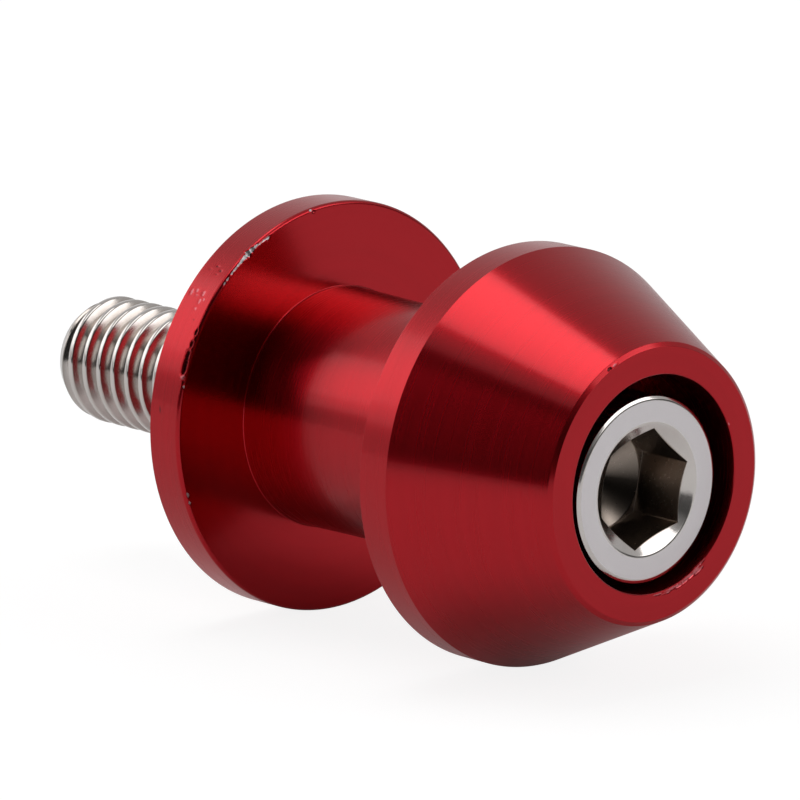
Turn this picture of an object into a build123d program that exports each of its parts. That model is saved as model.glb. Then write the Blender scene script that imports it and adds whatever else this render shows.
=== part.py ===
from build123d import *
import math
import os

# Swingarm spool: a turned spool on a socket cap screw that goes into the swingarm.
# The axis lies along Y. Y = 0 is the back face that meets the swingarm, the nose points
# to -Y, the screw's thread sticks out to +Y, and +Z is up. All sizes are in millimetres.

# Turned spool
rim_d = 32.0
rear_rim_width = 3.5
groove_width = 20.4
front_rim_width = 3.0
cone_length = 12.0
nose_d = 21.2
neck_d = 18.5
neck_end_d = 18.8
neck_fillet = 0.1
rim_chamfer = 0.3
groove_edge_break = 0.15
nose_chamfer = 0.25
mouth_chamfer = 0.12

# Socket cap screw, M10
thread_d = 10.0
thread_length = 24.6
screw_length = 52.6
shank_d = 9.0
head_d = 14.1
head_height = 10.0
head_chamfer = 0.2
underhead_fillet = 0.4
point_d = 8.0
point_length = 1.6

# Hexagon socket in the head
socket_flats = 8.0
socket_depth = 5.0
socket_tip_angle = 120.0
socket_mouth_d = 10.1
socket_mouth_angle = 120.0
socket_turn = 18.2

# How the screw sits in the spool
screw_play = 1.2
head_play = 2.5
rest_gap = 0.05
head_recess = 0.8

# Sizes that follow from the ones above
bore_d = thread_d + screw_play
counterbore_d = head_d + head_play
counterbore_depth = head_height + head_recess
# The loose screw lies on the bottom of its bore, so its axis is below the spool's axis.
screw_drop = screw_play / 2 - rest_gap

# Places along the axis, from the back face towards the nose
groove_back = -rear_rim_width
groove_front = groove_back - groove_width
cone_base = groove_front - front_rim_width
nose_face = cone_base - cone_length
counterbore_floor = nose_face + counterbore_depth

# Places along the axis, from the screw's head to its end
head_face = nose_face + head_recess
head_seat = head_face + head_height
screw_end = head_seat + screw_length
thread_start = screw_end - thread_length
point_start = screw_end - point_length

place_tolerance = 0.001


def turned(*lines):
    """A solid turned about Y from lines that close an outline of (radius, place along Y)."""
    return revolve(make_face(lines), Axis.Y)


def circle_edges(solid, diameter, place):
    """The round edges of this diameter at this place along the axis."""
    return solid.edges().filter_by(
        lambda edge: edge.geom_type == GeomType.CIRCLE
        and abs(edge.radius - diameter / 2) < place_tolerance
        and abs(edge.arc_center.Y - place) < place_tolerance
    )


def spool_blank():
    """Two rims with the hollow-sided neck between them, and the cone that ends in the nose."""
    neck_back = (neck_end_d / 2, groove_back)
    neck_middle = (neck_d / 2, (groove_back + groove_front) / 2)
    neck_front = (neck_end_d / 2, groove_front)
    rear = Polyline((0, 0), (rim_d / 2, 0), (rim_d / 2, groove_back), neck_back)
    neck = ThreePointArc(neck_back, neck_middle, neck_front)
    front = Polyline(
        neck_front,
        (rim_d / 2, groove_front),
        (rim_d / 2, cone_base),
        (nose_d / 2, nose_face),
        (0, nose_face),
        (0, 0),
    )
    return turned(rear, neck, front)


def stepped_bore():
    """The screw's clearance bore and the counterbore that takes its head."""
    return turned(Polyline(
        (0, 0),
        (bore_d / 2, 0),
        (bore_d / 2, counterbore_floor),
        (counterbore_d / 2, counterbore_floor),
        (counterbore_d / 2, nose_face),
        (0, nose_face),
        close=True,
    ))


def spool_body():
    body = spool_blank() - stepped_bore()
    body = fillet(circle_edges(body, neck_end_d, groove_back), neck_fillet)
    body = fillet(circle_edges(body, neck_end_d, groove_front), neck_fillet)
    body = chamfer(circle_edges(body, rim_d, 0), rim_chamfer)
    body = chamfer(circle_edges(body, rim_d, groove_back), rim_chamfer)
    body = chamfer(circle_edges(body, rim_d, groove_front), groove_edge_break)
    body = chamfer(circle_edges(body, nose_d, nose_face), nose_chamfer)
    body = chamfer(circle_edges(body, counterbore_d, nose_face), mouth_chamfer)
    return chamfer(circle_edges(body, bore_d, 0), mouth_chamfer)


def screw_blank():
    """Head, plain shank, and the thread's crest cylinder with its tapered point."""
    run_out = (thread_d - shank_d) / 2
    return turned(Polyline(
        (0, head_face),
        (head_d / 2, head_face),
        (head_d / 2, head_seat),
        (shank_d / 2, head_seat),
        (shank_d / 2, thread_start - run_out),
        (thread_d / 2, thread_start),
        (thread_d / 2, point_start),
        (point_d / 2, screw_end),
        (0, screw_end),
        close=True,
    ))


def cone_from(place, diameter, included_angle):
    """A cone on the axis, its base at this place and its tip further along +Y."""
    depth = diameter / 2 / math.tan(math.radians(included_angle / 2))
    return turned(Polyline((0, place), (diameter / 2, place), (0, place + depth), close=True))


def hexagon_socket():
    """The hexagon, the drilled cone below it, and the lead-in cone at its mouth."""
    face = Plane(origin=(0, head_face, 0), x_dir=(1, 0, 0), z_dir=(0, -1, 0))
    hexagon = RegularPolygon(socket_flats / 2, 6, major_radius=False, rotation=socket_turn)
    hole = extrude(face * hexagon, -socket_depth)
    tip = cone_from(head_face + socket_depth, socket_flats, socket_tip_angle)
    lead_in = cone_from(head_face, socket_mouth_d, socket_mouth_angle)
    return hole + tip + lead_in


def socket_cap_screw():
    screw = screw_blank()
    screw = chamfer(circle_edges(screw, head_d, head_face), head_chamfer)
    screw = fillet(circle_edges(screw, shank_d, head_seat), underhead_fillet)
    return Pos(0, 0, -screw_drop) * (screw - hexagon_socket())


os.makedirs("parts", exist_ok=True)
export_step(spool_body(), "parts/spool_body.step")
export_step(socket_cap_screw(), "parts/socket_cap_screw.step")
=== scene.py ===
import math

import bmesh
import bpy
import numpy as np
from mathutils import Matrix, Vector, noise


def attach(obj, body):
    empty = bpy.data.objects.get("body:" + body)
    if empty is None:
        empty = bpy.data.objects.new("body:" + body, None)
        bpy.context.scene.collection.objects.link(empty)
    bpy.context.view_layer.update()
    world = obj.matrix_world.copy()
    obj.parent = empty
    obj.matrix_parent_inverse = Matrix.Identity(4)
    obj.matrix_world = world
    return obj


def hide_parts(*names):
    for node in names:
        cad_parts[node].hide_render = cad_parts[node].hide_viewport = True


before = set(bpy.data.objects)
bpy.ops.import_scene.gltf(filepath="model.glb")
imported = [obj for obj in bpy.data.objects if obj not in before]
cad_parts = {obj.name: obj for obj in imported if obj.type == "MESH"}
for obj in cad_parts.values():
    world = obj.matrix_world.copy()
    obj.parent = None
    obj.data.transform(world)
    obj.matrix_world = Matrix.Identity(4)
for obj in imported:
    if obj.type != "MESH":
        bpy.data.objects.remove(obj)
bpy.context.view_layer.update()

# Swingarm spool: a red anodised spool, turned from one bar, on a plated socket cap screw.
# Both pieces are drawn in millimetres and degrees about the Y axis, as (radius, y) with the nose at
# the -Y end, and are turned to metres at the end.
MM = 0.001

# Spool
RIM_R = 16.0
NECK_R = 9.25
NECK_END_R = 9.4
NOSE_R = 10.6
BORE_R = 5.6
COUNTERBORE_R = 8.3
REAR_RIM_FRONT = -3.5
FRONT_RIM_BACK = -23.9
CONE_BASE = -26.9
NOSE_FACE = -38.9
COUNTERBORE_FLOOR = -28.1

# Edges of the spool. The nose's chamfer reaches this far out along the cone, and this far back.
BACK_CHAMFER = 0.3
RIM_ROUND = 0.3
GROOVE_EDGE_BREAK = 0.15
NECK_FILLET = 0.07
NOSE_CHAMFER_OUT = 0.103
NOSE_CHAMFER_BACK = 0.228
MOUTH_CHAMFER = 0.05
SHARP_EDGE_R = 0.035
# Closer rows reach this far from the counterbore's mouth, for its scuffs
MOUTH_WEAR = 0.6

# Rows along the spool's section. Arcs below the small size get fewer points, and corners that are
# nearly straight get none.
NECK_ROWS = 10
NECK_INSET = 0.8
SMALL_ARC = 0.2
SMALL_ARC_POINTS = 4
LARGE_ARC_POINTS = 9
NEARLY_STRAIGHT = math.radians(89.5)

# Screw. It lies on the bottom of its bore, so its axis is below the spool's.
SCREW_DROP = 0.55
HEAD_R = 7.05
HEAD_FACE = -38.1
HEAD_SEAT = -28.1
HEAD_CHAMFER = 0.24
HEAD_CHAMFER_TILT = 30
FACE_EDGE_R = 0.4
UNDERHEAD_FILLET = 0.4
SHANK_R = 4.5
SCREW_END = 24.5
POINT_R = 4.0
POINT_LENGTH = 1.6
# Rows can't meet on the axis, so the tip and the end close with a face of this radius
AXIS_R = 0.02

# Thread: a rolled crest, two straight flanks and a round root. It rises from the shank over the run-out.
THREAD_START = -0.1
THREAD_R = 5.0
THREAD_PITCH = 1.68
THREAD_CREST = 0.46
CREST_ROLL = 0.05
THREAD_FLANK = 0.7
FLANK_TILT = 30
THREAD_PHASE = -0.88
RUN_OUT = 0.65

# Hexagon socket. Its lead-in leans this far from the axis, and its drilled tip this far from square.
SOCKET_FLATS = 8.0
SOCKET_DEPTH = 5.0
SOCKET_MOUTH_R = 5.05
SOCKET_EDGE_R = 0.45
SOCKET_TURN = 18.2
SOCKET_CONE = 60
DRILL_TILT = 30
DRILL_R = 3.94

# Knurl round the head
KNURL_TEETH = 60
KNURL_DEPTH = 0.1
KNURL_FOOT = 0.6

# Columns round the screw: the first one is on the line of one of the socket's corners
COLUMNS = 4 * KNURL_TEETH
COLUMN_SHARES = np.arange(COLUMNS) / COLUMNS
CORNER_OFFSET = math.radians(SOCKET_TURN) % (2 * math.pi / COLUMNS)
SCREW_ANGLES = CORNER_OFFSET + 2 * math.pi * COLUMN_SHARES

# Dullness and painted shade on the screw, from 0 to 1. The darkest painted shade lies on the thread's
# flanks round this share of its depth, most of it round this angle.
ROOT_SHADE = 0.6
FLANK_SHADE = 0.8
FLANK_DARK_SHADE = 0.75
FLANK_SHADE_DEPTH, FLANK_SHADE_HALF = 0.28, 0.17
FLANK_SHADE_ANGLE, FLANK_SHADE_FADE = 170, 38
# In the socket the painted shade fills the lower half of the tip, apart from one spot left unshaded
CORNER_SHADE, CORNER_REACH = 0.25, 0.5
TIP_SHADE_TURN = 8
UNSHADED_SPOT_ANGLE, UNSHADED_SPOT_HALF = 285, 13
UNSHADED_SPOT_FROM = 0.85

# Wear on the spool, as (angle, radius, y, half length along the rim, half width, depth).
# Chips where the anodising has come off the rear rim's front edge, and one on the front rim's back edge
CHIPS = [
    (134.8, 15.84, -3.48, 0.22, 0.05, 0.03),
    (133.2, 15.84, -3.48, 0.30, 0.05, 0.03),
    (131.2, 15.84, -3.48, 0.24, 0.05, 0.03),
    (129.6, 15.84, -3.47, 0.32, 0.06, 0.04),
    (128.0, 15.85, -3.46, 0.28, 0.08, 0.05),
    (126.4, 15.85, -3.46, 0.34, 0.12, 0.08),
    (124.9, 15.84, -3.44, 0.34, 0.18, 0.12),
    (123.4, 15.86, -3.40, 0.30, 0.26, 0.16),
    (122.0, 15.86, -3.44, 0.32, 0.20, 0.12),
    (120.3, 15.84, -3.46, 0.30, 0.11, 0.07),
    (118.9, 15.80, -3.50, 0.20, 0.07, 0.04),
    (116.9, 15.78, -3.51, 0.30, 0.10, 0.06),
    (115.5, 15.74, -3.52, 0.24, 0.10, 0.06),
    (98.8, 15.90, -3.42, 0.16, 0.10, 0.06),
    (166.0, 15.80, -3.46, 0.11, 0.07, 0.05),
    (197.0, 15.72, -3.52, 0.22, 0.10, 0.04),
    (199.6, 15.74, -3.52, 0.16, 0.09, 0.04),
    (197.0, 15.92, -23.98, 0.30, 0.10, 0.03),
]
# Slots, nicks and pits that kept their dye, with painted shade inside them
GOUGES = [
    (150.6, 16.0, -3.30, 0.34, 0.11, 0.13),
    (154.0, 16.0, -3.30, 0.36, 0.13, 0.15),
    (157.4, 16.0, -3.26, 0.55, 0.17, 0.20),
    (160.4, 16.0, -3.28, 0.80, 0.21, 0.24),
    (131.7, 16.0, -1.25, 0.13, 0.09, 0.030),
    (130.3, 16.0, -1.75, 0.15, 0.10, 0.035),
    (131.6, 16.0, -2.30, 0.13, 0.09, 0.030),
    (132.9, 16.0, -2.10, 0.13, 0.09, 0.030),
    (147.5, 16.0, -2.45, 0.11, 0.08, 0.020),
    (173.4, 16.0, -1.28, 0.14, 0.09, 0.012),
    (97.9, 15.74, -3.50, 0.14, 0.09, 0.08),
    (115.9, 10.5, -38.82, 0.24, 0.12, 0.06),
]
# Shallow knocks that rubbed the dye. The first one raised a burr.
KNOCKS = [
    (163.4, 15.96, -3.30, 0.24, 0.20, -0.03),
    (139.7, 16.0, -0.85, 0.40, 0.18, 0.030),
    (138.8, 16.0, -1.30, 0.22, 0.14, 0.024),
    (139.4, 16.0, -2.15, 0.28, 0.17, 0.028),
    (141.9, 16.0, -2.15, 0.26, 0.16, 0.026),
    (140.4, 16.0, -1.60, 0.20, 0.12, 0.020),
    (141.1, 16.0, -2.50, 0.18, 0.08, 0.020),
    (144.2, 16.0, -2.10, 0.22, 0.12, 0.020),
    (112.5, 10.5, -38.82, 0.30, 0.08, 0.03),
    (24.0, 8.42, -38.88, 0.20, 0.10, 0.05),
]
# The counterbore's mouth is scuffed at the lower right, where the screw was knocked in
SCUFFS = [
    (303.0, 8.38, -38.88, 1.10, 0.09, 0.07),
    (299.0, 8.55, -38.90, 1.00, 0.10, 0.08),
    (302.5, 8.70, -38.90, 0.70, 0.08, 0.06),
    (293.0, 8.40, -38.88, 1.10, 0.10, 0.07),
    (290.0, 8.58, -38.90, 0.90, 0.10, 0.07),
    (283.0, 8.44, -38.88, 0.90, 0.09, 0.06),
    (279.0, 8.58, -38.90, 0.60, 0.07, 0.04),
    (273.0, 8.46, -38.88, 0.60, 0.06, 0.04),
]
# Wear breaks up its outline with two noises, as (waves to a millimetre, strength)
RAGGED_NOISES = ((7, 1.0), (17, 0.6))
# Points further from a mark than this, as the square of their share of its size, are left alone
MARK_REACH = 1.6

# Angles where the wear needs closer columns, as (from, to, spacing), and the spacing elsewhere
FINE_ANGLES = [(94, 137, 0.27), (137, 148, 0.4), (148, 172, 0.3), (190, 203, 0.4), (270, 308, 0.6)]
PLAIN_STEP = 1.5

# Camera, fitted to the photograph's view of the rims
CAMERA_AZIMUTH, CAMERA_ELEVATION = -42.33, 12.79
CAMERA_DISTANCE = 674.0 * MM
CAMERA_LENS = 401.7
SENSOR_WIDTH = 36
LOOK_AT = Vector((0, -20.8 * MM, 0))
LOOK_RIGHT, LOOK_UP = -6.65 * MM, 3.31 * MM

# Lamps, as (name, azimuth, elevation, width and height in metres, radiance, direction of the top edge)
LAMP_TARGET = Vector((0, -18 * MM, 0))
LAMP_DISTANCE = 0.9
UP, BACK = (0, 0, 1), (0, 1, 0)
LAMPS = [
    ("overhead", -157, 79, 0.58, 0.48, 2.3, BACK),
    ("left", -106, 27, 0.2, 0.66, 1.7, UP),
    ("overhead_left", -112, 59, 0.16, 0.48, 0.65, BACK),
    ("left_behind", -154, 30, 0.86, 0.34, 1.2, UP),
    ("left_behind_low", -154, 15.5, 0.86, 0.14, 0.7, UP),
    ("front_right", 30, 31, 0.66, 0.36, 1.9, UP),
]
FLOOR_REACH = 1.5


def turned_point(radius, angle, y, drop=0.0):
    """The point in metres at this radius and angle (radians) about the axis, or about one below it."""
    across, up = radius * np.cos(angle), radius * np.sin(angle) - drop
    return across * MM, y * MM * np.ones_like(angle), up * MM


def corner_arc(before, here, after, arc):
    """Points of the arc that rounds the corner at here, or the corner itself where it is nearly straight."""
    back, ahead = before - here, after - here
    back, ahead = back / np.linalg.norm(back), ahead / np.linalg.norm(ahead)
    half = math.acos(np.clip(back @ ahead, -1, 1)) / 2
    if arc == 0 or half > NEARLY_STRAIGHT:
        return [here]
    reach = arc / math.tan(half)
    middle = (back + ahead) / np.linalg.norm(back + ahead)
    centre = here + middle * arc / math.sin(half)
    start, end = here + back * reach - centre, here + ahead * reach - centre
    points = []
    for share in np.linspace(0, 1, SMALL_ARC_POINTS if arc < SMALL_ARC else LARGE_ARC_POINTS):
        mixed = start * (1 - share) + end * share
        points.append(centre + mixed / np.linalg.norm(mixed) * arc)
    return points


def outline(corners):
    """Rows of (radius, y, normal radius, normal y) round a closed outline whose corners are small arcs.

    A corner is (radius, y, arc radius, spacing of the rows on the run after it). Each run also has a row
    close to each of its ends, which keeps it flat under smooth shading.
    """
    spots = [np.array(corner[:2]) for corner in corners]
    arcs = []
    for i, (_, _, arc, _) in enumerate(corners):
        arcs.append(corner_arc(spots[i - 1], spots[i], spots[(i + 1) % len(spots)], arc))
    rows = []
    for i, points in enumerate(arcs):
        rows += points
        start, end = points[-1], arcs[(i + 1) % len(arcs)][0]
        run = np.linalg.norm(end - start)
        support = min(SHARP_EDGE_R, run / 4)
        inner = run - 2 * support
        count = max(1, round(inner / corners[i][3]))
        places = [support + inner * k / count for k in range(count + 1)]
        rows += [start + (end - start) * place / run for place in places]
    rows = np.array(rows)
    along = np.roll(rows, -1, 0) - np.roll(rows, 1, 0)
    along /= np.linalg.norm(along, axis=1)[:, None]
    return np.column_stack([rows, -along[:, 1], along[:, 0]])


def grid_faces(rows, columns, first=0, close_rows=False):
    """Quads between rows of points that each close on themselves."""
    faces = []
    for r in range(rows if close_rows else rows - 1):
        faces += ring_faces(first + r * columns, first + (r + 1) % rows * columns, columns)
    return faces


def ring_faces(first, second, columns):
    """Quads between the closed rows of points that start at these two numbers."""
    faces = []
    for c in range(columns):
        d = (c + 1) % columns
        faces.append((first + c, first + d, second + d, second + c))
    return faces


def helix_faces(rows, columns, first, pitch_rows):
    """Quads along the helix: the last column of a row meets the first column of the row one pitch back."""
    faces = []
    for r in range(rows - 1):
        for c in range(columns - 1):
            a, b = first + r * columns + c, first + (r + 1) * columns + c
            faces.append((a, a + 1, b + 1, b))
        a, b = first + (r + 1) * columns - 1, first + (r + 2) * columns - 1
        met, after = (first + max(row - pitch_rows, 0) * columns for row in (r, r + 1))
        faces.append((a, met, b) if met == after else (a, met, after, b))
    return faces


def mesh_piece(name, points, faces, marks):
    """A smooth closed piece from points in metres, with a number at each point for each named mark."""
    mesh = bpy.data.meshes.new(name)
    mesh.from_pydata([tuple(p) for p in points], [], faces)
    for mark, values in marks.items():
        values = values.ravel().astype(np.float32)
        mesh.attributes.new(mark, "FLOAT", "POINT").data.foreach_set("value", values)
    work = bmesh.new()
    work.from_mesh(mesh)
    # points that clamping laid on one another become one, and faces that it emptied go
    bmesh.ops.remove_doubles(work, verts=work.verts, dist=1e-8)
    bmesh.ops.dissolve_degenerate(work, edges=work.edges, dist=1e-9)
    bmesh.ops.recalc_face_normals(work, faces=work.faces)
    work.to_mesh(mesh)
    work.free()
    mesh.shade_smooth()
    piece = bpy.data.objects.new(name, mesh)
    bpy.context.scene.collection.objects.link(piece)
    return piece


def column_angles():
    """Angles round the spool in radians, close together where the wear is."""
    angles, here = [], 0.0
    while here < 360 - PLAIN_STEP / 4:
        angles.append(here)
        step = next((s for lo, hi, s in FINE_ANGLES if lo <= here < hi), PLAIN_STEP)
        after = here + step
        starts = [lo for lo, _, _ in FINE_ANGLES if here < lo < after]
        here = min(starts + [after])
    return np.radians(angles)


def wear(marks, rows, angles, ragged):
    """How deep these marks cut at each grid point, and how far inside a mark it is, from 0 to 1."""
    depth = np.zeros((len(rows), len(angles)))
    inside = np.zeros_like(depth)
    for angle, radius, y, length, width, cut in marks:
        near = np.hypot(rows[:, 0] - radius, rows[:, 1] - y)
        turn = np.angle(np.exp(1j * (angles - math.radians(angle))))
        apart = (turn * radius / length)[None, :] ** 2 + (near / width)[:, None] ** 2
        for r, c in zip(*np.nonzero(apart < MARK_REACH)):
            place = Vector((radius * math.cos(angles[c]), rows[r, 1], radius * math.sin(angles[c])))
            for waves, strength in RAGGED_NOISES:
                apart[r, c] += ragged * strength * noise.noise(place * waves)
        share = np.clip(1 - apart, 0, 1)
        deeper = cut * np.sqrt(share)
        depth = np.where(abs(deeper) > abs(depth), deeper, depth)
        inside = np.maximum(inside, share)
    return depth, inside


def spool_outline():
    """The spool's section: back face, rear rim, hollow-sided neck, front rim, cone and stepped bore."""
    neck = []
    middle = (REAR_RIM_FRONT + FRONT_RIM_BACK) / 2
    reach = middle - FRONT_RIM_BACK
    for y in np.linspace(REAR_RIM_FRONT - NECK_INSET, FRONT_RIM_BACK + NECK_INSET, NECK_ROWS):
        hollow = ((y - middle) / reach) ** 2
        neck.append((NECK_R + (NECK_END_R - NECK_R) * hollow, y, 0, 3.0))
    return outline([
        (BORE_R + MOUTH_CHAMFER, 0, SHARP_EDGE_R, 2.5),
        (RIM_R - BACK_CHAMFER, 0, SHARP_EDGE_R, 0.2),
        (RIM_R, -BACK_CHAMFER, SHARP_EDGE_R, 0.17),
        (RIM_R, REAR_RIM_FRONT, RIM_ROUND, 0.12),
        (RIM_R - 3 * RIM_ROUND, REAR_RIM_FRONT, 0, 1.6),
        (NECK_END_R, REAR_RIM_FRONT, NECK_FILLET, 0.3),
        *neck,
        (NECK_END_R, FRONT_RIM_BACK, NECK_FILLET, 1.6),
        (RIM_R - GROOVE_EDGE_BREAK, FRONT_RIM_BACK, SHARP_EDGE_R, 0.1),
        (RIM_R, FRONT_RIM_BACK - GROOVE_EDGE_BREAK, SHARP_EDGE_R, 0.7),
        (RIM_R, CONE_BASE, SHARP_EDGE_R, 2.0),
        (NOSE_R + NOSE_CHAMFER_OUT, NOSE_FACE + NOSE_CHAMFER_BACK, SHARP_EDGE_R, 0.08),
        (NOSE_R - NOSE_CHAMFER_BACK, NOSE_FACE, SHARP_EDGE_R, 0.35),
        (COUNTERBORE_R + MOUTH_WEAR, NOSE_FACE, 0, 0.06),
        (COUNTERBORE_R + MOUTH_CHAMFER, NOSE_FACE, 0, 0.06),
        (COUNTERBORE_R, NOSE_FACE + MOUTH_CHAMFER, 0, 0.12),
        (COUNTERBORE_R, NOSE_FACE + MOUTH_WEAR, 0, 3.0),
        (COUNTERBORE_R, COUNTERBORE_FLOOR, SHARP_EDGE_R, 3.0),
        (BORE_R, COUNTERBORE_FLOOR, SHARP_EDGE_R, 9.0),
        (BORE_R, -MOUTH_CHAMFER, SHARP_EDGE_R, 0.1),
    ])


def spool():
    rows, angles = spool_outline(), column_angles()
    chipped, bare = wear(CHIPS, rows, angles, ragged=0.55)
    # the insides of the gouges get painted shade
    dented, gouge_shade = wear(GOUGES, rows, angles, ragged=0.25)
    knocked, rubbed = wear(KNOCKS, rows, angles, ragged=0.45)
    scuffed, scraped = wear(SCUFFS, rows, angles, ragged=0.6)
    depth = chipped + dented + knocked + scuffed
    radius = rows[:, 0, None] - depth * rows[:, 2, None]
    y = rows[:, 1, None] - depth * rows[:, 3, None]
    turn = np.broadcast_to(angles, depth.shape)
    points = np.stack(turned_point(radius, turn, y), -1).reshape(-1, 3)
    faces = grid_faces(len(rows), len(angles), close_rows=True)
    # faces that are square to the axis were cut smoother than the rest
    faced = np.broadcast_to(abs(rows[:, 3, None]) > 0.99, depth.shape)
    marks = {"bare": bare, "rubbed": np.maximum(rubbed, scraped), "gouge_shade": gouge_shade, "faced": faced}
    return mesh_piece("spool", points, faces, marks)


def ring(radius, y):
    """A row round the screw. Its radius and y are each one number, or one for each column."""
    return radius + np.zeros(COLUMNS), y + np.zeros(COLUMNS)


def edge_point(radius, arc, tilt):
    """Where an edge of this arc, rolling outwards from the head's face at this radius, has this tilt.

    A negative arc rolls inwards.
    """
    a = math.radians(tilt)
    return radius + arc * math.sin(a), HEAD_FACE + abs(arc) * (1 - math.cos(a))


def hexagon_radius():
    """Distance from the axis to the socket's wall at each column."""
    side = math.radians(60)
    off = (SCREW_ANGLES - math.radians(SOCKET_TURN)) % side - side / 2
    return SOCKET_FLATS / 2 / np.cos(off)


def socket_rows(face_start):
    """Rows from the socket's drilled tip, up its walls and over its lead-in to the head's face."""
    wall = hexagon_radius()
    floor = HEAD_FACE + SOCKET_DEPTH
    mouth = HEAD_FACE + (SOCKET_MOUTH_R - wall) / math.tan(math.radians(SOCKET_CONE))
    slope = math.tan(math.radians(DRILL_TILT))
    rows = [ring(AXIS_R, floor + (DRILL_R - AXIS_R) * slope)]
    for share in (0.3, 0.6, 0.9, 0.99, 1.0):
        rows.append(ring(DRILL_R * share, floor + DRILL_R * (1 - share) * slope))
    for share in (0.5, 0.9, 1.0):
        rows.append(ring(DRILL_R + (wall - DRILL_R) * share, floor))
    for share in (0.01, 0.1, 0.4, 0.7, 0.92, 0.985, 1.0):
        rows.append(ring(wall, floor + (mouth - floor) * share))
    radius, y = edge_point(face_start, -SOCKET_EDGE_R, 90 - SOCKET_CONE)
    for share in (0.04, 0.12, 0.35, 0.65, 0.9):
        rows.append(ring(wall + (radius - wall) * share, mouth + (y - mouth) * share))
    for tilt in (30, 24, 18, 12, 6, 0):
        rows.append(ring(*edge_point(face_start, -SOCKET_EDGE_R, tilt)))
    return rows


def head_rows(face_start):
    """Rows over the head's face, its chamfer and its knurled side, and down to the shank."""
    slope = math.tan(math.radians(HEAD_CHAMFER_TILT))
    rim = HEAD_R - HEAD_CHAMFER - FACE_EDGE_R * math.tan(math.radians(HEAD_CHAMFER_TILT / 2))
    flat = (face_start + 0.02, face_start + 0.12, 5.5, 5.9, 6.3, rim - 0.1, rim - 0.02)
    rows = [ring(radius, HEAD_FACE) for radius in flat]
    for share in (0, 0.25, 0.5, 0.75, 1.0):
        rows.append(ring(*edge_point(rim, FACE_EDGE_R, HEAD_CHAMFER_TILT * share)))
    radius, y = edge_point(rim, FACE_EDGE_R, HEAD_CHAMFER_TILT)
    for share in (0.1, 0.5, 0.8, 0.95, 1.0):
        out = (HEAD_R - radius) * share
        rows.append(ring(radius + out, y + out * slope))
    tooth = KNURL_DEPTH * (0.5 - 0.5 * np.cos((SCREW_ANGLES - CORNER_OFFSET) * KNURL_TEETH))
    top, bottom = HEAD_FACE + HEAD_CHAMFER * slope, HEAD_SEAT - KNURL_FOOT
    for share in (0.02, 0.06, 0.3, 0.6, 0.9, 0.97):
        rows.append(ring(HEAD_R - tooth, top + (bottom - top) * share))
    rows += [ring(HEAD_R, y) for y in (bottom, HEAD_SEAT - 0.5, HEAD_SEAT - 0.1)]
    return rows + [ring(radius, HEAD_SEAT) for radius in (HEAD_R - 0.1, SHANK_R + 0.5)]


def shank_rows():
    """Rows down the fillet under the head and along the plain shank."""
    rows = []
    for turn in (15, 45, 75):
        a = math.radians(turn)
        radius = SHANK_R + UNDERHEAD_FILLET * (1 - math.sin(a))
        rows.append(ring(radius, HEAD_SEAT + UNDERHEAD_FILLET * (1 - math.cos(a))))
    places = (HEAD_SEAT + 0.45, HEAD_SEAT + 9, THREAD_START - 9, THREAD_START - 0.7)
    return rows + [ring(SHANK_R, y) for y in places]


def thread_profile():
    """One pitch of the thread as (share of the pitch, depth below the crest)."""
    edge = THREAD_CREST / 2
    flank = edge + THREAD_FLANK * math.tan(math.radians(FLANK_TILT))
    root_r = (THREAD_PITCH / 2 - flank) / math.sin(math.radians(90 - FLANK_TILT))
    half = [(0.0, 0.0), (edge * 0.55, 0.004), (edge * 0.85, 0.02), (edge, CREST_ROLL)]
    for share in (0.1, 0.5):
        half.append((edge + (flank - edge) * share, CREST_ROLL + THREAD_FLANK * share))
    for turn in (60, 40, 20, 0):
        a = math.radians(turn)
        rise = root_r * (math.cos(a) - math.sin(math.radians(FLANK_TILT)))
        half.append((THREAD_PITCH / 2 - root_r * math.sin(a), CREST_ROLL + THREAD_FLANK + rise))
    half = [(place / THREAD_PITCH, depth) for place, depth in half]
    return half + [(1 - place, depth) for place, depth in half[-2:0:-1]]


def thread_rows(profile):
    """Rows that follow the right-hand helix from inside the bore to the point, as its crest does."""
    lead = (THREAD_PHASE + 1 - COLUMN_SHARES) * THREAD_PITCH
    first, last = THREAD_START - RUN_OUT, SCREW_END
    turns = math.ceil((last - first) / THREAD_PITCH) + 2
    rows = []
    for turn in range(-1, turns):
        for place, depth in profile:
            y = np.clip(first + (turn + place) * THREAD_PITCH + lead, first, last)
            starting = np.clip((y - first) / THREAD_PITCH, 0, 1)
            radius = SHANK_R + (THREAD_R - depth - SHANK_R) * starting
            point = POINT_R + (THREAD_R - POINT_R) * (last - y) / POINT_LENGTH
            rows.append((np.minimum(radius, point), y))
    return rows


def end_rows():
    """The flat end of the point, with the shallow dimple that heading leaves."""
    dips = ((POINT_R - 0.05, 0.0), (3.4, 0.0), (2.9, 0.05), (2.0, 0.14), (1.0, 0.2), (AXIS_R, 0.22))
    return [ring(radius, SCREW_END - dip) for radius, dip in dips]


def socket_shade(radius, y):
    """Painted shade on a row of the head: over the lower half of the socket's drilled tip, and in the corner
    between floor and walls.
    """
    floor, inscribed = HEAD_FACE + SOCKET_DEPTH, SOCKET_FLATS / 2
    if y.min() > floor - 1e-6 and radius.max() < inscribed:
        tip_shade = np.clip(0.5 - 1.5 * np.sin(SCREW_ANGLES - math.radians(TIP_SHADE_TURN)), 0, 1)
        if radius.max() > UNSHADED_SPOT_FROM * inscribed:
            tip_shade *= 1 - np.exp(-((np.degrees(SCREW_ANGLES) - UNSHADED_SPOT_ANGLE) / UNSHADED_SPOT_HALF) ** 2)
        return tip_shade
    in_corner = radius.max() > inscribed and abs(y - floor).max() < CORNER_REACH
    return CORNER_SHADE if in_corner else 0.0


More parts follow.
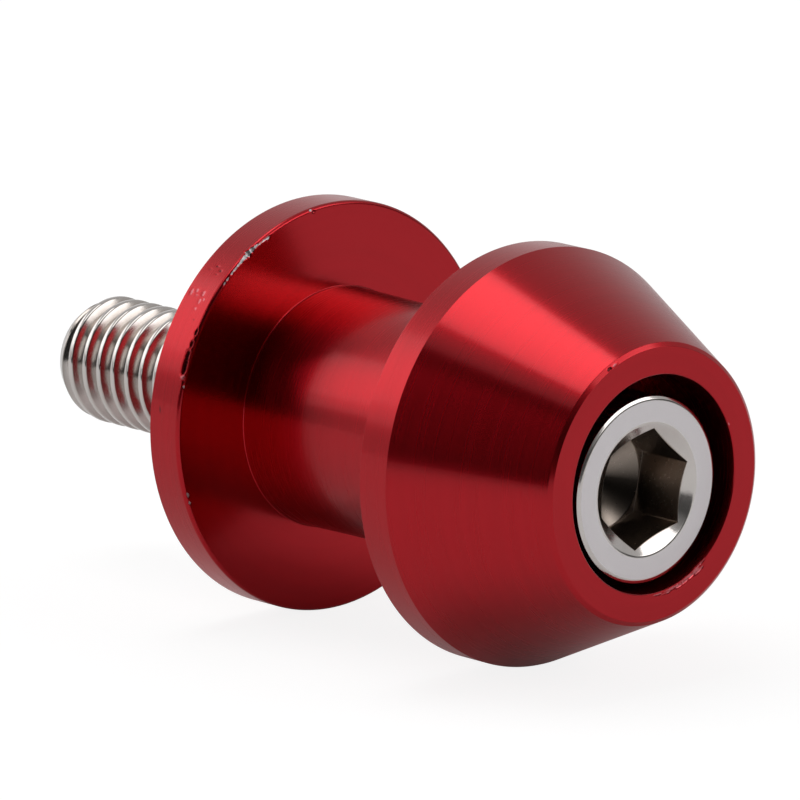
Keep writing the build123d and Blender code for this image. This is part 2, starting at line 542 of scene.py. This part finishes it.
def thread_finish(radius, place, root):
    """How dull a row of the thread is and how much painted shade it gets, at this share of its pitch."""
    deep = np.clip((THREAD_R - radius) / root, 0, 1)
    # painted shade darkens the flanks that face the spool, in the second half of each pitch
    flank = (place > 0.5) * np.clip(1.5 - abs(deep - FLANK_SHADE_DEPTH) / FLANK_SHADE_HALF, 0, 1)
    aside = abs(np.degrees(SCREW_ANGLES) - FLANK_SHADE_ANGLE) / FLANK_SHADE_FADE
    dark_shade = flank * np.clip(1.35 - aside, 0.08, 1)
    # the root is dull where it faces up, and painted shade darkens it there
    upper = np.clip((np.sin(SCREW_ANGLES) - 0.4) / 0.3, 0.1, 1)
    dull = np.maximum(ROOT_SHADE * upper * np.clip(2 * deep, 0, 1), FLANK_SHADE * dark_shade)
    return dull, FLANK_DARK_SHADE * dark_shade


def screw():
    face_start = SOCKET_MOUTH_R + SOCKET_EDGE_R * math.tan(math.radians((90 - SOCKET_CONE) / 2))
    profile = thread_profile()
    head = socket_rows(face_start) + head_rows(face_start) + shank_rows()
    thread, end = thread_rows(profile), end_rows()
    before, after = len(head), len(head) + len(thread)
    count = after + len(end)

    points = []
    for radius, y in head + thread + end:
        points.append(np.stack(turned_point(radius, SCREW_ANGLES, y, SCREW_DROP), -1))
    faces = grid_faces(before, COLUMNS)
    faces += helix_faces(len(thread), COLUMNS, before * COLUMNS, len(profile))
    faces += grid_faces(len(end), COLUMNS, after * COLUMNS)
    # the head's last row meets the thread's first ring, and the thread's last ring meets the end
    faces += ring_faces((before - 1) * COLUMNS, before * COLUMNS, COLUMNS)
    faces += ring_faces((after - 1) * COLUMNS, after * COLUMNS, COLUMNS)
    # small flat faces close the drilled tip and the end's dimple
    faces.append(tuple(range(COLUMNS)))
    faces.append(tuple((count - 1) * COLUMNS + c for c in range(COLUMNS)))

    # the head's face is satin; the socket and the thread get painted shade
    satin, shaded, painted_dark_shade = np.zeros((3, count, COLUMNS))
    for row, (radius, y) in enumerate(head):
        satin[row] = abs(y.mean() - HEAD_FACE) < 1e-6
        shaded[row] = radius.max() < SOCKET_MOUTH_R - 0.4
        painted_dark_shade[row] = socket_shade(radius, y)
    root = max(depth for _, depth in profile)
    for row, (radius, _) in enumerate(thread):
        place = profile[row % len(profile)][0]
        shaded[before + row], painted_dark_shade[before + row] = thread_finish(radius, place, root)
    marks = {"satin": satin, "shaded": shaded, "painted_dark_shade": painted_dark_shade}
    return mesh_piece("screw", np.concatenate(points), faces, marks)


def colour(code):
    """A shader colour from an sRGB hex value."""
    parts = [int(code[i:i + 2], 16) / 255 for i in (1, 3, 5)]
    return [p / 12.92 if p <= 0.04045 else ((p + 0.055) / 1.055) ** 2.4 for p in parts] + [1.0]


def add(tree, kind, links=(), **settings):
    """Adds a node. Links name a socket and its value or another node's output, and the rest are settings.

    Sockets by number: in a Map Range 1 and 2 are the range read and 3 and 4 the range given, and in a
    colour Mix 0 is the share and 6 and 7 are the colours.
    """
    made = tree.nodes.new(kind)
    for name, value in settings.items():
        setattr(made, name, value)
    for socket, value in dict(links).items():
        if isinstance(value, bpy.types.NodeSocket):
            tree.links.new(value, made.inputs[socket])
        else:
            made.inputs[socket].default_value = value
    return made


def new_material(name):
    material = bpy.data.materials.new(name)
    material.use_nodes = True
    material.node_tree.nodes.clear()
    return material, material.node_tree


def turning_marks(tree, drop=0.0):
    """The place on the piece, how far it is along the turned section, and its direction from the axis."""
    place = add(tree, "ShaderNodeTexCoord").outputs["Object"]
    xyz = add(tree, "ShaderNodeSeparateXYZ", {0: place})
    up = add(tree, "ShaderNodeMath", {0: xyz.outputs["Z"], 1: drop * MM}, operation="ADD").outputs[0]
    flat = add(tree, "ShaderNodeCombineXYZ", {"X": xyz.outputs["X"], "Z": up}).outputs[0]
    radius = add(tree, "ShaderNodeVectorMath", {0: flat}, operation="LENGTH").outputs["Value"]
    # y less a part of the radius keeps moving all along the section
    part = add(tree, "ShaderNodeMath", {0: radius, 1: -0.6}, operation="MULTIPLY").outputs[0]
    along = add(tree, "ShaderNodeMath", {0: xyz.outputs["Y"], 1: part}, operation="ADD").outputs[0]
    way = add(tree, "ShaderNodeVectorMath", {0: flat}, operation="NORMALIZE").outputs[0]
    return place, along, way


def rings(tree, along, way, spacing, drift):
    """Noise in rings this many millimetres apart that drifts a little round the axis."""
    slow = add(tree, "ShaderNodeVectorMath", {0: way, "Scale": drift}, operation="SCALE").outputs[0]
    fast = add(tree, "ShaderNodeMath", {0: along, 1: 1 / (spacing * MM)}, operation="MULTIPLY").outputs[0]
    lift = add(tree, "ShaderNodeCombineXYZ", {"Y": fast}).outputs[0]
    spot = add(tree, "ShaderNodeVectorMath", {0: slow, 1: lift}, operation="ADD").outputs[0]
    detail = {"Vector": spot, "Scale": 1.0, "Detail": 2.0, "Roughness": 0.6}
    return add(tree, "ShaderNodeTexNoise", detail).outputs[0]


def anodised_aluminium():
    """Turned aluminium, dyed red and sealed: deep red metal, its highlights drawn across turning marks."""
    material, tree = new_material("red_anodised_turned_aluminium")
    place, along, way = turning_marks(tree)
    # the tool's feed is 0.09 mm a turn and its chatter 0.4 mm
    feed = rings(tree, along, way, 0.09, 1.2)
    chatter = rings(tree, along, way, 0.4, 0.7)
    # broken metal has six grains to a millimetre
    grain = add(tree, "ShaderNodeTexNoise", {"Vector": place, "Scale": 6 / MM, "Detail": 3.0}).outputs[0]
    ragged = add(tree, "ShaderNodeMath", {0: grain, 1: 0.6}, operation="ADD").outputs[0]
    bare = add(tree, "ShaderNodeAttribute", attribute_name="bare").outputs["Fac"]
    rubbed = add(tree, "ShaderNodeAttribute", attribute_name="rubbed").outputs["Fac"]
    gouge_shade = add(tree, "ShaderNodeAttribute", attribute_name="gouge_shade").outputs["Fac"]
    faced = add(tree, "ShaderNodeAttribute", attribute_name="faced").outputs["Fac"]

    # the dye varies a little from ring to ring
    dyes = {0: chatter, 6: colour("#B60D1C"), 7: colour("#AA0A18")}
    full = add(tree, "ShaderNodeMix", dyes, data_type="RGBA").outputs[2]
    # rubbed places have lost part of it, in streaks
    streak = add(tree, "ShaderNodeMath", {0: rubbed, 1: ragged}, operation="MULTIPLY").outputs[0]
    thinned = add(tree, "ShaderNodeMapRange", {0: streak, 1: 0.2, 2: 0.75, 4: 0.55}).outputs[0]
    faded = {0: thinned, 6: full, 7: colour("#DE8A92")}
    dye = add(tree, "ShaderNodeMix", faded, data_type="RGBA").outputs[2]
    # inside a chip it is gone, and the grain breaks up the chip's edge
    chipped = add(tree, "ShaderNodeMath", {0: bare, 1: ragged}, operation="MULTIPLY").outputs[0]
    show = add(tree, "ShaderNodeMapRange", {0: chipped, 1: 0.16, 2: 0.3}).outputs[0]
    bared = {0: show, 6: dye, 7: colour("#BDB9BB")}
    shown = add(tree, "ShaderNodeMix", bared, data_type="RGBA").outputs[2]
    # gouges kept their dye, and painted shade darkens their insides
    dark = add(tree, "ShaderNodeMapRange", {0: gouge_shade, 1: 0.05, 2: 0.5, 4: 0.85}).outputs[0]
    shaded_gouges = {0: dark, 6: shown, 7: colour("#4A0208")}
    shown = add(tree, "ShaderNodeMix", shaded_gouges, data_type="RGBA").outputs[2]

    # faces square to the axis are smoother, and worn places rougher
    cut = add(tree, "ShaderNodeMapRange", {0: feed, 3: 0.235, 4: 0.295}).outputs[0]
    finer = {0: faced, 1: -0.08, 2: cut}
    smooth = add(tree, "ShaderNodeMath", finer, operation="MULTIPLY_ADD").outputs[0]
    worn = add(tree, "ShaderNodeMath", {0: rubbed, 1: show}, operation="MAXIMUM").outputs[0]
    coarser = {0: worn, 1: 0.15, 2: smooth}
    roughness = add(tree, "ShaderNodeMath", coarser, operation="MULTIPLY_ADD").outputs[0]
    # the feed marks are 0.8 thousandths of a millimetre deep and the chatter 4
    grooves = {0: feed, 1: 0.2, 2: chatter}
    height = add(tree, "ShaderNodeMath", grooves, operation="MULTIPLY_ADD").outputs[0]
    pits = {0: grain, 1: show, 2: height}
    pitted = add(tree, "ShaderNodeMath", pits, operation="MULTIPLY_ADD").outputs[0]
    relief = {"Height": pitted, "Strength": 1.0, "Distance": 0.004 * MM}
    marks = add(tree, "ShaderNodeBump", relief).outputs[0]
    tangent = add(tree, "ShaderNodeTangent", direction_type="RADIAL", axis="Y").outputs[0]
    skin = add(tree, "ShaderNodeBsdfPrincipled", {
        "Base Color": shown, "Metallic": 1.0, "Roughness": roughness, "Normal": marks, "Tangent": tangent,
        "Anisotropic": 0.55, "Anisotropic Rotation": 0.25,
        "Coat Weight": 0.32, "Coat Roughness": 0.14, "Coat IOR": 1.6,
    })
    add(tree, "ShaderNodeOutputMaterial", {"Surface": skin.outputs[0]})
    return material


def plated_steel():
    """Nickel-plated screw steel: warm and bright where it was rolled, satin and paler on the head's face."""
    material, tree = new_material("nickel_plated_screw_steel")
    place, along, way = turning_marks(tree, SCREW_DROP)
    # the face was turned at 0.12 mm a turn, the grain is a fifth of a millimetre and stains are 2 mm wide
    feed = rings(tree, along, way, 0.12, 2.0)
    grain = add(tree, "ShaderNodeTexNoise", {"Vector": place, "Scale": 5 / MM, "Detail": 4.0}).outputs[0]
    stain = add(tree, "ShaderNodeTexNoise", {"Vector": place, "Scale": 0.45 / MM, "Detail": 3.0}).outputs[0]
    satin = add(tree, "ShaderNodeAttribute", attribute_name="satin").outputs["Fac"]
    shaded = add(tree, "ShaderNodeAttribute", attribute_name="shaded").outputs["Fac"]
    painted_dark_shade = add(tree, "ShaderNodeAttribute", attribute_name="painted_dark_shade").outputs["Fac"]

    # painted shade: the plating takes a darker tint in the socket and on the thread's roots and flanks,
    # which are also duller there, and a near-black tint on the flanks and in the socket's tip and corner
    thick = {0: stain, 6: colour("#DAD5D2"), 7: colour("#CBC4BF")}
    nickel = add(tree, "ShaderNodeMix", thick, data_type="RGBA").outputs[2]
    shade_colours = {0: stain, 6: colour("#B3A69C"), 7: colour("#9A8D82")}
    shade_tint = add(tree, "ShaderNodeMix", shade_colours, data_type="RGBA").outputs[2]
    tinted_nickel = add(tree, "ShaderNodeMix", {0: shaded, 6: nickel, 7: shade_tint}, data_type="RGBA").outputs[2]
    dark_shade = {0: painted_dark_shade, 6: tinted_nickel, 7: colour("#2E2925")}
    plated = add(tree, "ShaderNodeMix", dark_shade, data_type="RGBA").outputs[2]
    face = {0: satin, 6: plated, 7: colour("#E8E3E5")}
    metal = add(tree, "ShaderNodeMix", face, data_type="RGBA").outputs[2]

    rolled = add(tree, "ShaderNodeMapRange", {0: grain, 3: 0.08, 4: 0.18}).outputs[0]
    duller = {0: shaded, 1: 0.16, 2: rolled}
    dull = add(tree, "ShaderNodeMath", duller, operation="MULTIPLY_ADD").outputs[0]
    turned = add(tree, "ShaderNodeMapRange", {0: feed, 3: 0.36, 4: 0.5}).outputs[0]
    roughness = add(tree, "ShaderNodeMix", {0: satin, 2: dull, 3: turned}).outputs[0]
    # the marks are 2 thousandths of a millimetre deep
    grooves = {0: grain, 1: 0.6, 2: feed}
    height = add(tree, "ShaderNodeMath", grooves, operation="MULTIPLY_ADD").outputs[0]
    relief = {"Height": height, "Strength": 1.0, "Distance": 0.002 * MM}
    marks = add(tree, "ShaderNodeBump", relief).outputs[0]
    skin = add(tree, "ShaderNodeBsdfPrincipled", {
        "Base Color": metal, "Metallic": 1.0, "Roughness": roughness, "Normal": marks,
    })
    add(tree, "ShaderNodeOutputMaterial", {"Surface": skin.outputs[0]})
    return material


def direction(azimuth, elevation):
    """From the object towards this azimuth (0 is at the nose's side, 90 at +X) and elevation."""
    a, e = math.radians(azimuth), math.radians(elevation)
    return Vector((math.sin(a) * math.cos(e), -math.cos(a) * math.cos(e), math.sin(e)))


def place_camera():
    back = direction(CAMERA_AZIMUTH, CAMERA_ELEVATION)
    right = Vector((-back.y, back.x, 0)).normalized()
    up = back.cross(right)
    camera = bpy.data.objects.new("camera", bpy.data.cameras.new("camera"))
    camera.data.lens = CAMERA_LENS
    camera.data.sensor_width = SENSOR_WIDTH
    camera.location = LOOK_AT + right * LOOK_RIGHT + up * LOOK_UP + back * CAMERA_DISTANCE
    camera.rotation_euler = Matrix((right, up, back)).transposed().to_euler()
    bpy.context.scene.collection.objects.link(camera)
    bpy.context.scene.camera = camera


def softbox(name, azimuth, elevation, width, height, radiance, top):
    """A rectangular lamp that faces the object, with its top edge towards this direction."""
    towards = direction(azimuth, elevation)
    side = Vector(top).cross(towards).normalized()
    data = bpy.data.lights.new(name, "AREA")
    data.shape = "RECTANGLE"
    data.size, data.size_y = width, height
    data.energy = radiance * math.pi * width * height
    lamp = bpy.data.objects.new(name, data)
    lamp.location = LAMP_TARGET + towards * LAMP_DISTANCE
    lamp.rotation_euler = Matrix((side, towards.cross(side), towards)).transposed().to_euler()
    lamp.visible_camera = False
    bpy.context.scene.collection.objects.link(lamp)


def studio_world():
    """White behind the object, to the camera and in the metal, and a pale room that is dark on one side."""
    world = bpy.data.worlds.new("studio")
    bpy.context.scene.world = world
    world.use_nodes = True
    tree = world.node_tree
    tree.nodes.clear()
    soft = {"interpolation_type": "SMOOTHSTEP"}
    way = add(tree, "ShaderNodeTexCoord").outputs["Generated"]

    # the room is pale, and nearly black to the left of the nose
    left_side = {0: way, 1: direction(-62, 22)}
    near = add(tree, "ShaderNodeVectorMath", left_side, operation="DOT_PRODUCT").outputs["Value"]
    levels = {0: near, 1: 0.34, 2: 0.74, 3: 0.62, 4: 0.03}
    pale = add(tree, "ShaderNodeMapRange", levels, **soft).outputs[0]
    # in front of the nose it is dark just above the table, behind the lamps
    height = add(tree, "ShaderNodeSeparateXYZ", {0: way}).outputs["Z"]
    off = add(tree, "ShaderNodeMath", {0: height, 1: 0.14}, operation="SUBTRACT").outputs[0]
    away = add(tree, "ShaderNodeMath", {0: off}, operation="ABSOLUTE").outputs[0]
    band = add(tree, "ShaderNodeMapRange", {0: away, 1: 0.09, 2: 0.17, 3: 0.9, 4: 0}, **soft).outputs[0]
    nose_side = {0: way, 1: direction(30, 8)}
    facing = add(tree, "ShaderNodeVectorMath", nose_side, operation="DOT_PRODUCT").outputs["Value"]
    front = add(tree, "ShaderNodeMapRange", {0: facing, 1: 0.7, 2: 0.88}, **soft).outputs[0]
    taken = add(tree, "ShaderNodeMath", {0: band, 1: front}, operation="MULTIPLY").outputs[0]
    rest = add(tree, "ShaderNodeMath", {0: 1.0, 1: taken}, operation="SUBTRACT").outputs[0]
    level = add(tree, "ShaderNodeMath", {0: pale, 1: rest}, operation="MULTIPLY").outputs[0]
    room = add(tree, "ShaderNodeBackground", {"Strength": level})

    # the backdrop is white to the camera everywhere, and in the metal where it hangs
    far_side = {0: way, 1: direction(175, -12)}
    behind = add(tree, "ShaderNodeVectorMath", far_side, operation="DOT_PRODUCT").outputs["Value"]
    backdrop = add(tree, "ShaderNodeMapRange", {0: behind, 1: 0.6, 2: 0.9}, **soft).outputs[0]
    ray = add(tree, "ShaderNodeLightPath")
    either = {0: ray.outputs["Is Glossy Ray"], 1: ray.outputs["Is Transmission Ray"]}
    mirrored = add(tree, "ShaderNodeMath", either, operation="MAXIMUM").outputs[0]
    shown = {0: mirrored, 1: backdrop, 2: ray.outputs["Is Camera Ray"]}
    seen = add(tree, "ShaderNodeMath", shown, operation="MULTIPLY_ADD").outputs[0]
    white = add(tree, "ShaderNodeBackground", {"Color": (1, 1, 1, 1), "Strength": 1.0})
    both = add(tree, "ShaderNodeMixShader", {0: seen, 1: room.outputs[0], 2: white.outputs[0]})
    add(tree, "ShaderNodeOutputWorld", {"Surface": both.outputs[0]})


def floor():
    """A pale table under the rims. The camera sees it nearly white, with the object's soft shadow."""
    mesh = bpy.data.meshes.new("floor")
    corners = [(x * FLOOR_REACH, y * FLOOR_REACH, 0) for x, y in ((-1, -1), (1, -1), (1, 1), (-1, 1))]
    mesh.from_pydata(corners, [], [(0, 1, 2, 3)])
    table = bpy.data.objects.new("floor", mesh)
    table.location = (0, 0, -RIM_R * MM)
    bpy.context.scene.collection.objects.link(table)
    # matt white paper: the camera sees three quarters of it as plain white, and metal a twentieth
    material, tree = new_material("white_paper_table")
    ray = add(tree, "ShaderNodeLightPath")
    camera = {0: ray.outputs["Is Camera Ray"], 1: 0.75}
    seen = add(tree, "ShaderNodeMath", camera, operation="MULTIPLY").outputs[0]
    mirrored = {0: ray.outputs["Is Glossy Ray"], 1: 0.05, 2: seen}
    share = add(tree, "ShaderNodeMath", mirrored, operation="MULTIPLY_ADD").outputs[0]
    paper = add(tree, "ShaderNodeBsdfDiffuse", {"Color": colour("#F0F0F0")})
    lit = add(tree, "ShaderNodeEmission", {"Strength": 1.15})
    both = add(tree, "ShaderNodeMixShader", {0: share, 1: paper.outputs[0], 2: lit.outputs[0]})
    add(tree, "ShaderNodeOutputMaterial", {"Surface": both.outputs[0]})
    table.data.materials.append(material)


spool_piece = spool()
spool_piece.data.materials.append(anodised_aluminium())
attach(spool_piece, "spool")
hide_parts("spool_body")

screw_piece = screw()
screw_piece.data.materials.append(plated_steel())
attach(screw_piece, "screw")
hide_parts("socket_cap_screw")

place_camera()
studio_world()
floor()
for lamp in LAMPS:
    softbox(*lamp)

view = bpy.context.scene.view_settings
view.view_transform = "Standard"
